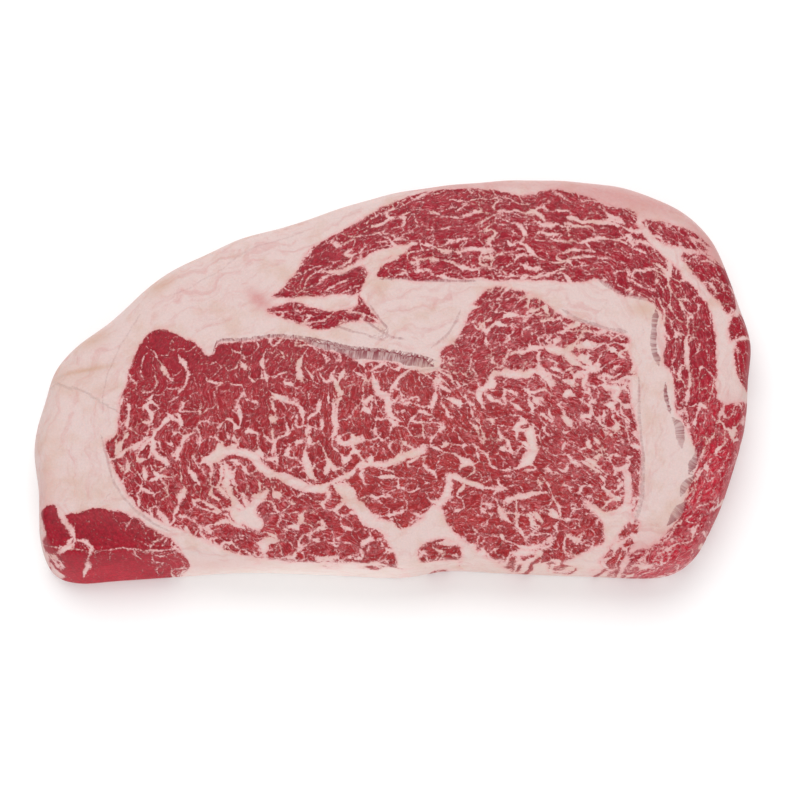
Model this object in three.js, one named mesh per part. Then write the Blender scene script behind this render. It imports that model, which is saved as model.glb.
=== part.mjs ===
// A raw, heavily marbled rib-eye steak, lying on its underside with the cut face up.
// It is one piece of meat: a slab with a flat underside, a rounded rim of trimmed fat, a flared
// face where the lower left was sliced, and a top that swells over each muscle and sinks at the
// fat between them. Millimetres, +Z up, the middle of the underside at the origin.

import * as THREE from 'three';
import { ParametricGeometry } from 'three/addons/geometries/ParametricGeometry.js';
import { mergeVertices } from 'three/addons/utils/BufferGeometryUtils.js';

// Driving dimensions
const LENGTH = 244;
const WIDTH = 139;
const THICKNESS = 25.5;

// Bands of the surface, each with its number of rings, and the steps round the rim
const RINGS = { under: 2, foot: 3, side: 6, top: 19 };
const RINGS_IN_ALL = RINGS.under + RINGS.foot + RINGS.side + RINGS.top;
const STEPS_ROUND = 168;

// The rim, anticlockwise from the right-hand end. Each station gives its place, the height of the
// widest line, how far in from it the top face starts, and how far the underside tucks in.
const RIM = [
  { x: 122.5, y: 11.5, widest: 12, shoulder: 5.5, foot: 3.5 },
  { x: 117.3, y: 29.8, widest: 12, shoulder: 5.5, foot: 3.5 },
  { x: 112, y: 45, widest: 12, shoulder: 6, foot: 3.5 },
  { x: 104, y: 56, widest: 12, shoulder: 7.5, foot: 4 },
  { x: 94.3, y: 62.2, widest: 12, shoulder: 8.5, foot: 4 },
  { x: 80, y: 67.6, widest: 12, shoulder: 8, foot: 4 },
  { x: 50, y: 70.1, widest: 12, shoulder: 5, foot: 3.5 },
  { x: 19.5, y: 68.3, widest: 12, shoulder: 5, foot: 3.5 },
  { x: -0.7, y: 65.3, widest: 12, shoulder: 6, foot: 3.5 },
  { x: -21, y: 59.4, widest: 12, shoulder: 7, foot: 4 },
  { x: -36.3, y: 54, widest: 12, shoulder: 8, foot: 4 },
  { x: -51.5, y: 50, widest: 12, shoulder: 8.5, foot: 4 },
  { x: -66.8, y: 42.9, widest: 12, shoulder: 8.5, foot: 4 },
  { x: -80, y: 35.8, widest: 12, shoulder: 8, foot: 4 },
  { x: -92.2, y: 24.6, widest: 12, shoulder: 8, foot: 4 },
  { x: -99.3, y: 18, widest: 12, shoulder: 7.5, foot: 4 },
  { x: -109.4, y: 10.5, widest: 12, shoulder: 7.5, foot: 4 },
  { x: -115.8, y: 2, widest: 12, shoulder: 7, foot: 4 },
  { x: -118.5, y: -7.3, widest: 12, shoulder: 7.5, foot: 4 },
  { x: -122, y: -24.5, widest: 12, shoulder: 7, foot: 4 },
  { x: -120, y: -38.5, widest: 11, shoulder: 5.5, foot: 3 },
  { x: -120, y: -47, widest: 9, shoulder: 5, foot: 2.5 },
  { x: -119, y: -59.5, widest: 6, shoulder: 6, foot: 2 },
  { x: -115, y: -67, widest: 4, shoulder: 9, foot: 1.5 },
  { x: -107, y: -69.3, widest: 3.5, shoulder: 10.5, foot: 1.5 },
  { x: -95.5, y: -68.5, widest: 3.5, shoulder: 10, foot: 1.5 },
  { x: -73, y: -67, widest: 3.5, shoulder: 7.5, foot: 1.5 },
  { x: -52, y: -65.7, widest: 4, shoulder: 3.5, foot: 1.5 },
  { x: -21, y: -66.5, widest: 4.5, shoulder: 2.8, foot: 1.5 },
  { x: 3.5, y: -67.4, widest: 4.5, shoulder: 3, foot: 1.5 },
  { x: 18, y: -65.1, widest: 4.5, shoulder: 3, foot: 1.5 },
  { x: 36, y: -65.8, widest: 4.5, shoulder: 3.5, foot: 1.5 },
  { x: 67, y: -67, widest: 4.5, shoulder: 3.8, foot: 1.5 },
  { x: 94, y: -66.8, widest: 5.5, shoulder: 4.5, foot: 2 },
  { x: 102, y: -61.5, widest: 7, shoulder: 5, foot: 2.5 },
  { x: 107.5, y: -52, widest: 9, shoulder: 5, foot: 3 },
  { x: 112, y: -42, widest: 10, shoulder: 5, foot: 3 },
  { x: 117, y: -27, widest: 11, shoulder: 5, foot: 3 },
  { x: 120, y: -16.5, widest: 11, shoulder: 5, foot: 3 },
  { x: 121, y: -3, widest: 12, shoulder: 5, foot: 3 },
];

// Where the rings close, on the top and on the underside alike
const SPINE = { x: -7, y: -11, half: 66, turn: 9.6 };

// A side whose widest line is this high is fully round; the lower the line, the flatter the side
const ROUND_SIDE_HEIGHT = 12;

// Shallow waves that the knife and the cold fat leave along the side
const SIDE_WAVES = { count: 17, depth: 0.35 };

// Height of the top face where nothing swells or sinks
const PLAIN_FACE = THICKNESS - 1;

// Swells over the muscles, and hollows over the softer fat between them
const SWELLS = {
  eyeLeftLobe: { x: -55, y: -20, long: 40, wide: 27, turn: 0, rise: 0.9 },
  eyeRightLobe: { x: 52, y: -12, long: 32, wide: 38, turn: 0, rise: 1 },
  capFarSide: { x: 38, y: 48, long: 62, wide: 13, turn: 2, rise: 0.9 },
  capRightSide: { x: 102, y: 0, long: 48, wide: 11, turn: 94, rise: 0.7 },
  capLeftTip: { x: -22, y: 30, long: 19, wide: 8, turn: 20, rise: 0.6 },
  smallSideMuscle: { x: -93, y: -56, long: 24, wide: 11, turn: -8, rise: 0.9 },
  fatPocket: { x: 12, y: 20, long: 18, wide: 11, turn: 0, rise: -1.3 },
  fatUnderCap: { x: 68, y: 25, long: 22, wide: 8, turn: -16, rise: -0.9 },
  fatBesideEye: { x: 86, y: -24, long: 42, wide: 8, turn: 90, rise: -0.8 },
  fatAtNearEdge: { x: 8, y: -55, long: 18, wide: 8, turn: 0, rise: -0.8 },
  broadFatLeft: { x: -105, y: -12, long: 34, wide: 15, turn: 80, rise: -0.9 },
  broadFatFarLeft: { x: -62, y: 30, long: 40, wide: 12, turn: 28, rise: -0.6 },
};

// Seams, each a path over the top face: where the eye meets the cap, where the small muscle
// begins, and the crease that a knife left in the fat at the left-hand end
const SEAMS = {
  eyeToCap: {
    depth: 0.7,
    wide: 7,
    path: [[-62, 6], [-40, 12], [-12, 7], [14, 3], [22, 19], [36, 31], [62, 18], [80, 12], [82, -30]],
  },
  besideSmallMuscle: {
    depth: 0.9,
    wide: 4.5,
    path: [[-117, -42], [-96, -44], [-80, -49], [-70, -58]],
  },
  knifeCrease: {
    depth: 0.7,
    wide: 4,
    path: [[-115, -1.5], [-106, 1.2], [-95, 2.5]],
  },
};

const SAMPLES_PER_SEAM = 40;

// Points nearer to each other than this are one
const MERGE_DISTANCE = 0.001;

const rimLine = new THREE.CatmullRomCurve3(
  RIM.map((station) => new THREE.Vector3(station.x, station.y, 0)),
  true,
);
const rimSection = new THREE.CatmullRomCurve3(
  RIM.map((station) => new THREE.Vector3(station.shoulder, station.widest, station.foot)),
  true,
);
const seamLines = Object.values(SEAMS).map((seam) => ({
  ...seam,
  points: new THREE.CatmullRomCurve3(seam.path.map(([x, y]) => new THREE.Vector3(x, y, 0)))
    .getPoints(SAMPLES_PER_SEAM),
}));

function swellHeight(x, y) {
  let height = 0;
  for (const swell of Object.values(SWELLS)) {
    const turn = THREE.MathUtils.degToRad(swell.turn);
    const along = (x - swell.x) * Math.cos(turn) + (y - swell.y) * Math.sin(turn);
    const across = (y - swell.y) * Math.cos(turn) - (x - swell.x) * Math.sin(turn);
    height += swell.rise * Math.exp(-((along / swell.long) ** 2) - (across / swell.wide) ** 2);
  }
  return height;
}

function seamDepth(x, y) {
  let depth = 0;
  for (const seam of seamLines) {
    const nearest = Math.min(...seam.points.map((point) => Math.hypot(x - point.x, y - point.y)));
    depth += seam.depth * Math.exp(-((nearest / seam.wide) ** 2));
  }
  return depth;
}

const topHeight = (x, y) => PLAIN_FACE + swellHeight(x, y) - seamDepth(x, y);

// The spine point that the ring point at u heads for: there and back once round the rim
function spinePoint(u) {
  const turn = THREE.MathUtils.degToRad(SPINE.turn);
  const along = SPINE.half * Math.cos(2 * Math.PI * u);
  return new THREE.Vector2(SPINE.x + along * Math.cos(turn), SPINE.y + along * Math.sin(turn));
}

// u runs once round the rim. v runs from the middle of the underside out to the foot, up the
// side and back over the top face to its middle.
function surface(u, v, target) {
  const rim = rimLine.getPointAt(u);
  const section = rimSection.getPoint(rimLine.getUtoTmapping(u));
  const [shoulder, widest, foot] = section.toArray();
  const outer = new THREE.Vector2(rim.x, rim.y);
  const middle = spinePoint(u);
  const inward = middle.clone().sub(outer).normalize();

  let ring = v * RINGS_IN_ALL;
  if (ring <= RINGS.under) {
    const place = outer.addScaledVector(inward, foot).lerp(middle, 1 - ring / RINGS.under);
    target.set(place.x, place.y, 0);
    return;
  }
  ring -= RINGS.under;
  if (ring <= RINGS.foot) {
    const quarter = (ring / RINGS.foot) * (Math.PI / 2);
    const place = outer.addScaledVector(inward, foot * (1 - Math.sin(quarter)));
    target.set(place.x, place.y, widest * (1 - Math.cos(quarter)));
    return;
  }
  ring -= RINGS.foot;
  const topEdge = outer.clone().addScaledVector(inward, shoulder);
  if (ring <= RINGS.side) {
    const up = ring / RINGS.side;
    const quarter = up * (Math.PI / 2);
    const flatness = 1 - Math.min(widest / ROUND_SIDE_HEIGHT, 1);
    const inset = shoulder * THREE.MathUtils.lerp(1 - Math.cos(quarter), up, flatness);
    const rise = THREE.MathUtils.lerp(Math.sin(quarter), up, flatness);
    const wave = SIDE_WAVES.depth * Math.sin(2 * Math.PI * SIDE_WAVES.count * u) * Math.sin(Math.PI * up);
    const place = outer.addScaledVector(inward, inset + Math.abs(wave));
    target.set(place.x, place.y, THREE.MathUtils.lerp(widest, topHeight(topEdge.x, topEdge.y), rise));
    return;
  }
  ring -= RINGS.side;
  const place = topEdge.lerp(middle, ring / RINGS.top);
  target.set(place.x, place.y, topHeight(place.x, place.y));
}

// Brings the slab to its driving dimensions, with the middle of its underside at the origin
function fitToSize(geometry) {
  geometry.computeBoundingBox();
  const size = geometry.boundingBox.getSize(new THREE.Vector3());
  const centre = geometry.boundingBox.getCenter(new THREE.Vector3());
  geometry.translate(-centre.x, -centre.y, -geometry.boundingBox.min.z);
  geometry.scale(LENGTH / size.x, WIDTH / size.y, THICKNESS / size.z);
}

function makeSteak() {
  const open = new ParametricGeometry(surface, STEPS_ROUND, RINGS_IN_ALL);
  open.deleteAttribute('normal');
  open.deleteAttribute('uv');
  const geometry = mergeVertices(open, MERGE_DISTANCE);
  fitToSize(geometry);
  geometry.computeVertexNormals();
  const rawBeef = new THREE.MeshStandardMaterial({ color: 0xb5505a, roughness: 0.42, metalness: 0 });
  const steak = new THREE.Mesh(geometry, rawBeef);
  steak.name = 'steak';
  return steak;
}

const group = new THREE.Group();
group.add(makeSteak());

export default group;
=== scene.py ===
"""A raw, heavily marbled rib-eye steak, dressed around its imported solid.

The slab's own form comes from the solid. Here it gets a fine surface, and on it the muscles, the fat
between them, the silverskin and the marbling, which follows the grain of each muscle.
"""

import math

import bmesh
import bpy
import numpy as np
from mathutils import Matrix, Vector


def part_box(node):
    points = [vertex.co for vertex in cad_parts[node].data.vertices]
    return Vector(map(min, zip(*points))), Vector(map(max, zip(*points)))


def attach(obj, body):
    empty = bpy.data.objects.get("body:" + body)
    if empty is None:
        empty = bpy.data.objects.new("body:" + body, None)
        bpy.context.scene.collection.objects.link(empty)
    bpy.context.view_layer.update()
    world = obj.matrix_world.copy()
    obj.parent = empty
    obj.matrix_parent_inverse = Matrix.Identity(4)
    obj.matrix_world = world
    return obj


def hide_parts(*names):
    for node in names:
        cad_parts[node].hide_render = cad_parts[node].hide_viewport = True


bl_info = {
    "name": "Raw Rib-eye Steak",
    "version": (1, 0, 0),
    "blender": (4, 5, 0),
    "location": "View3D > Sidebar > Steak",
    "description": "Dresses the packed solid of a raw rib-eye steak and sets it on a plain stage",
    "category": "Object",
}

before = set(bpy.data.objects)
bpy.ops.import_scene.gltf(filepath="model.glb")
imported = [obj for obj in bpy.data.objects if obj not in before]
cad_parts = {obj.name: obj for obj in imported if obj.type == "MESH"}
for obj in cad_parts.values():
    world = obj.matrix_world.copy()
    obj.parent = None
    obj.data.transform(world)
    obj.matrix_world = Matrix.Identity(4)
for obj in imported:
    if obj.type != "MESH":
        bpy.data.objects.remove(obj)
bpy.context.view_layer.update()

MM = 0.001
NODE = "steak"
FACE_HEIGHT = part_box(NODE)[1].z / MM

# The outlines are drawn in millimetres on the cut face, from above. The steak's middle lies here
# among them.
DRAWING_MIDDLE = (0.65, 4.4)

# Muscles of the cut face, each a closed outline. Those that reach the side run past the rim.
MUSCLES = {
    "eye": [
        (-88.5, 0), (-88, 5), (-85, 12.5), (-81, 17.3), (-77, 18.7), (-73, 17.3), (-67, 14.5), (-61, 9.5),
        (-58, 13.3), (-50, 14.3), (-40, 15.6), (-30, 14.4), (-24, 11.5), (-17, 10.5), (-11, 8), (0, 7.5),
        (5, 4.8), (13, 3.8), (17, 8), (17, 12), (22, 16), (25.5, 24), (29, 30.5), (35, 34.5), (41, 33),
        (46, 31.7), (53, 27.5), (60, 22), (71, 19), (79.5, 15.5), (79, 12), (81.5, 3.5), (79, 0.5),
        (81.8, -15), (81.7, -34), (79.5, -45), (77, -47), (71, -54), (68, -54), (62, -57), (53, -60.5),
        (42, -60), (32, -58), (25, -56), (14, -59.5), (2, -62), (-5, -60), (-20, -60), (-35, -59.3),
        (-50, -57.5), (-58, -54), (-66, -50.7), (-77, -45.5), (-84, -41.5), (-90, -33), (-94.5, -24),
        (-95.5, -19.5), (-91.7, -17), (-91, -7),
    ],
    "cap": [
        (-40, 30), (-37, 32.5), (-32, 39), (-28.5, 45), (-22, 50.5), (-14, 55.5), (-5, 60.5), (5, 65),
        (16, 67.5), (28, 67.8), (45, 66), (57, 67.3), (67, 65), (76, 61.5), (83, 59), (83.5, 54), (90, 46),
        (98, 38), (104, 30.5), (108, 23), (109, 10), (108.5, -3), (111, -7), (123, -9), (121, -30),
        (113, -46), (107, -58), (101, -67), (88, -72), (73, -70), (77, -63), (79.5, -56.5), (86.5, -54.5),
        (94.5, -46.5), (97.5, -40), (99, -35), (101.5, -26), (99, -17), (95, -8), (94, 3), (90.5, 8),
        (92.5, 17), (90, 25), (86, 29.5), (78, 31), (71, 36), (60, 35.5), (40, 36.5), (30, 37.3), (15, 36),
        (0, 36.5), (-6, 37), (-8, 39), (-11, 31.5), (-18, 30.5), (-31, 29.7),
    ],
    "cap underlayer": [
        (-42.5, 24.7), (-38, 27), (-33, 27.7), (-24, 25), (-18, 24.6), (-12, 26), (-11, 30), (-8, 26.5),
        (-4, 21.3), (-12, 21.7), (-22, 18.6), (-32, 21),
    ],
    "far strip": [
        (85.5, 55.2), (88, 56.3), (96, 54.9), (104, 51.5), (109, 46.4), (98, 47.3), (92, 49),
    ],
    "right strip": [
        (98, 44), (103, 45), (108, 44.7), (114.5, 38), (117.5, 28), (114.5, 24), (110, 28.5), (105, 35),
        (101, 40),
    ],
    "right knob": [(114, 21), (117, 23.3), (124, 22), (124, 17), (116, 15.4), (113.6, 14.5)],
    "right lower knob": [(115.6, 12.6), (118, 14.6), (125, 14), (125, 3), (121, -2), (117, 0), (115, 7)],
    "side muscle": [
        (-107.5, -45), (-103, -43.3), (-95, -42), (-87, -44), (-79, -49), (-72, -54), (-69.7, -58.5),
        (-71, -63), (-80, -75), (-124, -75), (-121, -62), (-115.5, -58.5), (-109, -56.5), (-105.5, -52),
        (-105, -49.5),
    ],
    "side muscle tip": [
        (-116.8, -44), (-115, -41.5), (-112, -41), (-110.5, -43.5), (-107, -49), (-106.7, -52),
        (-109, -55.5), (-114, -57.4), (-115.8, -55), (-114.5, -50),
    ],
}

# Part of the eye with finer islands
RIGHT_LOBE = [
    (14, 10), (20, 1), (25, -6), (29, -13), (31.5, -24), (33.6, -28.6), (41, -29.5), (50, -33), (60, -34),
    (84, -34), (90, 0), (84, 24), (40, 40), (20, 20),
]
CAP_MUSCLES = ("cap", "cap underlayer", "far strip", "right strip", "right knob", "right lower knob")

# Pockets of fat that lie inside those outlines
FAT_POCKETS = {
    "near wedge": [
        (-3, -52), (1, -50.2), (6, -47.5), (10, -45), (13, -41), (16.5, -42), (18, -46.5), (20.5, -50),
        (25, -53.5), (28, -57), (26, -62), (4, -63), (1, -58),
    ],
    "right wedge": [
        (76.5, -29), (78.8, -31), (79.5, -37), (79, -43.5), (80, -46.5), (75, -52.5), (71, -58),
        (68, -63.5), (64, -65.5), (66, -59.5), (69, -53.5), (69.3, -47), (66, -43.5), (62.5, -38.5),
        (66, -40.5), (70.5, -43.5), (75, -42.5), (76.8, -38),
    ],
    "left white patch": [
        (-52.2, -40.6), (-50.5, -42.4), (-47.9, -40.6), (-45.2, -37.5), (-41.7, -35.3), (-40.4, -36.2),
        (-43.1, -39.7), (-44.4, -42.4), (-41.7, -46), (-43.1, -49.5), (-47, -48.6), (-49.2, -47.3),
        (-50.9, -48.6), (-54, -44.2),
    ],
    "cap gap": [
        (-25, 38.3), (-17, 39.6), (-11, 43), (-4, 46.5), (6, 48), (4, 45), (-2, 43), (-5, 38), (-8, 37),
        (-11, 40.5), (-17, 37.6),
    ],
    "tip of the side muscle": [(-114.5, -58.8), (-111, -58), (-109.3, -60), (-111, -61), (-114.3, -60.8)],
}

# Lean that stands alone inside the pockets
ISLANDS = {
    "near wedge": [(9, -56), (12, -53), (17, -52), (22, -55), (22.5, -58.5), (15, -59.5), (10, -59)],
    "near strip": [
        (81.5, -46.5), (80.5, -52), (76.5, -58), (71, -66), (65.5, -67), (68.5, -60), (72.5, -54),
        (77, -48.5),
    ],
}

# Seams of fat, and one painted highlight: width in millimetres, then the path
SEAMS = [
    (3.2, [
        (-63, -27), (-60, -25), (-53, -23.3), (-46, -25), (-42, -29), (-35, -32), (-27, -34.7), (-20, -35),
    ]),
    (2.4, [(-20, -34.5), (-14, -30.5), (-11, -28.3), (-3, -26.5), (6, -24), (13, -21)]),
    (1.7, [(13, -20), (15, -17), (19, -14)]),
    (1.6, [(13, -21), (19, -23), (25, -26)]),
    (4.8, [(-20, -35), (-16, -37.5), (-12, -41.5), (-6, -46.5), (0, -50.5), (5, -55)]),
    (2.4, [(10, -46), (15, -41), (17, -38), (18, -34), (19, -31), (24, -33.5), (28, -35), (37, -36)]),
    (2.8, [(-52, -29), (-54.5, -33), (-53.5, -37), (-51, -41), (-47, -43)]),
    (2.0, [(-29, -18), (-28.5, -24), (-26.5, -30), (-24, -32)]),
    (1.9, [(-18.5, -5), (-18.5, -14), (-20.5, -18.5)]),
    (2.2, [(-40, -3), (-35, -6), (-31, -8), (-30, -14)]),
    (1.2, [(-82, 12), (-79, 9.5), (-77, 7), (-75, 4), (-73, 1.5)]),
    (1.9, [(-71, 10), (-69, 7), (-68, 3), (-69, 0), (-71, -2.5)]),
    (1.3, [(-75, -10), (-72, -12), (-70, -15)]),
    (1.3, [(-80, -20), (-77, -22), (-75, -24)]),
    (1.7, [(-73, -44), (-70, -39), (-69, -35)]),
    (1.2, [(-53, -10), (-52, -6)]),
    (0.9, [(15, 6), (18, 4), (20, 1), (22, -1.5), (25, -6), (27, -10), (29, -13)]),
    (1.5, [(31, 21.6), (31.5, 16.5), (31.9, 13.1)]),
    (2.5, [(31, -7.3), (29.4, -3.9), (31.9, -0.5), (35.3, 3.3), (41.1, 3.3), (49.5, 3.7), (52.8, -1.4)]),
    (2.2, [(38.6, 8.9), (49.5, 12.6), (57.8, 11.4), (61.2, 8), (66.2, 6.3), (67.9, 4.6)]),
    (1.3, [(38.6, 25), (43.6, 23.3), (51.2, 24.2)]),
    (1.0, [(50.3, 14), (54, 17), (60, 18.4), (68, 17.4)]),
    (1.6, [(49.5, 11.4), (48.6, 6.3), (52.8, 2.9), (52.8, -2.2)]),
    (1.3, [(65.4, 4.6), (64.5, -2.2), (62.9, -7.3)]),
    (1.4, [(69.5, 2.9), (74.6, 1.2), (82, 2.5)]),
    (1.6, [(35.3, -14.1), (38.6, -15)]),
    (3.4, [(45.6, -14.8), (46.1, -18.4), (46.1, -23.5), (41.1, -28.6)]),
    (1.0, [(26.1, -20.1), (31.9, -24.4), (33.6, -28.6), (40.3, -29.5)]),
    (1.0, [(49.5, -32), (53.7, -40.5), (56.2, -45.6), (52.8, -51.6)]),
    (2.0, [(73.7, -15.8), (76.2, -12.4)]),
    # A painted highlight: a pale line drawn as fat along the front, where the cut face bends down to the
    # near side
    (0.45, [(-119, -54.6), (-108, -54.9), (-99, -55.3), (-85, -55.6), (-71, -55.9)]),
    (2.6, [(34, -40), (36, -44), (39, -47)]),
    (1.6, [(36, -40), (45, -38.5), (50, -37.5)]),
    (1.5, [(37, -53), (43, -55), (50, -54), (54, -50)]),
    (2.4, [(64, -27), (70, -30)]),
    (1.4, [(100, 17), (99, 13), (99.5, 8), (99, 3), (98.5, -3), (98, -8)]),
    (1.6, [(-109.5, -44), (-107.5, -46), (-105.5, -49), (-105.5, -52), (-107.5, -54.5), (-110, -56.5)]),
    (1.3, [(-105, -52), (-101, -53), (-99, -55), (-101, -57.5), (-103, -60), (-103.5, -63)]),
    (0.7, [(-87, -45.5), (-88, -48.5)]),
    (0.9, [(-85, -56), (-84, -58), (-82.5, -59.5)]),
    (0.9, [(-79, -56), (-76, -58.2), (-74, -57.3)]),
    (1.3, [(-2.9, 51.1), (1.5, 46.6), (9.3, 48.3), (17.1, 46), (26, 45.5), (32.7, 46)]),
    (0.8, [(-15.2, 51.1), (-8.5, 52.3), (-2.9, 52.9)]),
    (0.9, [(1.5, 58), (11.6, 60.2), (21.6, 56.8), (30.5, 59.1), (43.9, 54.6), (49.5, 55.7)]),
    (2.1, [(41.7, 55.7), (44.5, 52), (43.9, 50)]),
    (1.7, [(47.2, 61.4), (51.7, 56.8), (48.3, 54.6)]),
    (1.4, [(59.5, 58), (66.2, 55.7), (75.1, 54.6), (81.8, 51.1)]),
    (1.8, [(70.6, 61.4), (74, 58), (77.3, 55.7)]),
    (1.0, [(53.9, 51.1), (61.7, 48.9), (71.7, 50), (80.7, 47.7), (87.3, 44.3)]),
    (0.9, [(30.5, 43.2), (41.7, 45.5), (55, 42.1), (66.2, 44.3), (79.5, 40.9)]),
    (1.2, [(7.1, 43.2), (17.1, 42.1), (26, 39.8), (35, 40.9)]),
    (1.0, [(21.6, 63.6), (26, 62.5), (22.7, 59.1)]),
    (0.8, [(36.1, 38.7), (48.3, 37.5), (59.5, 39.8)]),
    (0.9, [(81.8, 36.4), (82.9, 38.7), (87.3, 39.2), (92.4, 37.5), (94, 33.6)]),
    (1.1, [(88.5, 36.4), (91.2, 33), (90.7, 28.4)]),
    (1.0, [(97.4, 29.6), (99.6, 22.8), (99.5, 18)]),
    (2.2, [(-50.5, 6.5), (-49.5, 4)]),
    (1.2, [(-42.6, 11), (-43.9, 7), (-41.7, 2), (-40.9, -1.5)]),
    (1.6, [(-27.8, 11), (-30.8, 5.6), (-30.4, 0.3)]),
    (1.5, [(-16, 5.6), (-16.9, -5), (-18.2, -13)]),
    (2.5, [(-6.8, 2.5), (-5.1, -2.4), (-0.7, -5), (0.2, -10.4), (2.8, -12.6)]),
    (1.4, [(-0.7, -3.3), (3.6, 2.5), (6.3, 4.3)]),
    (1.0, [(0.2, -5.5), (12.4, -6.8)]),
    (1.5, [(14.1, 0.3), (13.2, -7.7)]),
    (0.9, [(5.4, -12.6), (18.5, -14)]),
    (1.1, [(-40, -15.7), (-39.6, -24.6)]),
    (1.8, [(-81.8, -28), (-81.8, -33.5)]),
    (2.0, [(-75.8, -36.2), (-74.6, -37)]),
    (1.8, [(-52, -9), (-51.5, -14)]),
    (2.4, [(-5.1, -39.7), (-3.6, -40.5)]),
]

# Silverskin and other thin skins, and one painted shadow: width, how dark, then the path
SKINS = [
    (0.8, 0.9, [(-60, 11), (-58, 14.6), (-50, 15), (-40, 16.3), (-28, 15)]),
    (1.6, 1.0, [(-30, 15.2), (-23, 12.6), (-17, 12.8), (-12, 11)]),
    (3.2, 1.0, [(-20, 12.4), (-12, 10.6), (-3, 10), (4, 8.6), (8, 7.4)]),
    (3.4, 1.0, [(1, 9), (6, 8), (10, 7.2), (13.5, 6.4)]),
    (0.5, 1.0, [
        (-60, 11.4), (-58, 15), (-50, 15.5), (-40, 16.8), (-28, 15.8), (-18, 13.6), (-10, 12.5), (-2, 12),
        (5, 10.8), (10, 9.4), (14.5, 8.4),
    ]),
    # Painted shadow along the cap's lower edge, where the cap stands above the fat beside it, drawn as a
    # skin
    (0.9, 0.7, [(-4, 36), (6, 36.4), (16, 35.6), (28, 36)]),
    (1.6, 0.6, [(70, 36), (75, 33), (80, 30.8), (86, 29)]),
    (2.0, 0.8, [(89, 25), (88.5, 18), (88, 13), (89, 7)]),
    (1.1, 1.0, [(91.5, 0), (91.5, -4), (93, -9.5)]),
    (2.5, 0.8, [(94, -12), (95.8, -15), (96.2, -21)]),
    (2.6, 0.85, [(103, -20), (101, -24.5), (98.3, -30)]),
    (2.7, 0.85, [(100, -31.5), (97.8, -34), (95.6, -37.5)]),
    (3.2, 0.8, [(97.6, -40), (94.8, -43.5), (91.6, -47.5)]),
    (0.5, 0.5, [(60, 22.4), (70, 20), (78, 17.4)]),
    (0.5, 0.5, [(82, -25), (82.4, -34), (80.5, -45)]),
    (0.9, 0.4, [(58, 26), (62, 22.9), (70, 20.6), (79, 17.9)]),
    (0.9, 0.4, [(82.6, 2), (82.8, -12), (83.3, -28), (82.6, -40), (80, -48)]),
    (0.8, 0.35, [(-97, -17.5), (-94.8, -26), (-91.5, -35), (-84, -43.5), (-74, -49.5)]),
    (0.9, 0.4, [(-24, 21), (-12, 17.5), (-3, 15.4)]),
    (1.0, 0.5, [(-12, 25), (-8, 21), (-2, 17.5), (4, 15.5)]),
    (0.8, 0.35, [(14, 13), (20, 19), (23, 26)]),
    (1.0, 0.5, [(-7, 27), (-3.5, 22), (-1.5, 19.5)]),
    (0.5, 0.22, [(-97, -10), (-97, -3), (-95, 5), (-92, 12), (-88, 19), (-85, 24)]),
    (0.5, 0.18, [(-75, 30), (-60, 38), (-48, 47), (-40, 49.5), (-30, 53)]),
]

# Grain of the flesh at places of the cut face: x, y, direction in degrees, share of fat, brownness
EYE_GRAIN = [
    (-80, 10, 60, 0.10, 0.0), (-70, 4, 70, 0.18, 0.0), (-55, 8, 60, 0.20, 0.1), (-38, 8, 62, 0.28, 0.15),
    (-20, 3, 75, 0.34, 0.3), (-86, -10, 62, 0.42, 0.3), (-90, -22, 98, 0.40, 0.3),
    (-82, -36, 128, 0.34, 0.2), (-66, -40, 138, 0.42, 0.5), (-68, -18, 84, 0.42, 0.5),
    (-50, -10, 82, 0.36, 0.5), (-30, -18, 98, 0.36, 0.6), (-10, -12, 90, 0.34, 0.6),
    (6, -10, 100, 0.36, 0.6), (-40, -46, 155, 0.42, 0.5), (-15, -55, 160, 0.42, 0.5),
    (-60, -48, 150, 0.42, 0.4), (0, -32, 195, 0.34, 0.8), (6, -42, 215, 0.34, 0.7),
    (22, -12, 140, 0.38, 0.8), (34, 24, 228, 0.38, 0.1), (28, 10, 200, 0.38, 0.2), (52, 16, 190, 0.44, 0.2),
    (70, 10, 182, 0.48, 0.3), (60, -10, 130, 0.46, 0.4), (72, -25, 125, 0.46, 0.4),
    (50, -24, 135, 0.42, 0.5), (38, -31, 168, 0.22, 0.6), (30, -46, 182, 0.40, 0.6),
    (46, -48, 190, 0.40, 0.7), (58, -42, 208, 0.40, 0.6), (66, -52, 245, 0.46, 0.6),
    (-93, -52, 150, 0.02, 0.0), (-112, -50, 110, 0.06, 0.0), (-95, -64, 100, 0.10, 0.0),
]
CAP_GRAIN = [
    (-34, 24, -10, 0.31, 0.0), (-34, 34, 45, 0.26, 0.0), (-15, 48, 32, 0.31, 0.0), (5, 56, 14, 0.32, 0.0),
    (30, 60, 2, 0.31, 0.0), (30, 42, 4, 0.35, 0.0), (60, 58, -6, 0.32, 0.1), (60, 42, -4, 0.38, 0.1),
    (84, 44, -38, 0.35, 0.0), (98, 44, -40, 0.36, 0.0), (95, 28, -75, 0.31, 0.0), (108, 32, -62, 0.26, 0.0),
    (100, 5, -92, 0.36, 0.0), (118, 10, -88, 0.15, 0.0), (106, -15, -104, 0.40, 0.1),
    (106, -32, -116, 0.44, 0.1), (98, -48, -138, 0.46, 0.1), (86, -62, -158, 0.52, 0.0),
]
GRAIN_REACH = 11.0
GRAIN_EXTENT = (135.0, 85.0)

# Marbling of each group of muscles: how long and how wide its islands are next to the usual ones,
# half the width of its usual vein in millimetres, and the seed of its draws
EYE_MARBLING = (1.0, 1.0, 0.72, 3)
LOBE_MARBLING = (0.95, 0.82, 0.64, 4)
CAP_MARBLING = (1.4, 0.82, 0.62, 5)
# Inside those lie smaller islands: how many times shorter and narrower, and how wide their veins are
# next to the large ones'
SMALL_ISLANDS = (1.9, 2.0, 0.27)
# Share of fat at which a vein has its usual width, and below which the thinnest veins vanish
USUAL_FAT = 0.42
LITTLE_FAT = 0.3

# Uneven edges: over how many millimetres they wander, how far, and the seed
WANDER = ((9.0, 1.3, 11), (3.4, 0.9, 12), (1.7, 0.4, 13))
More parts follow.
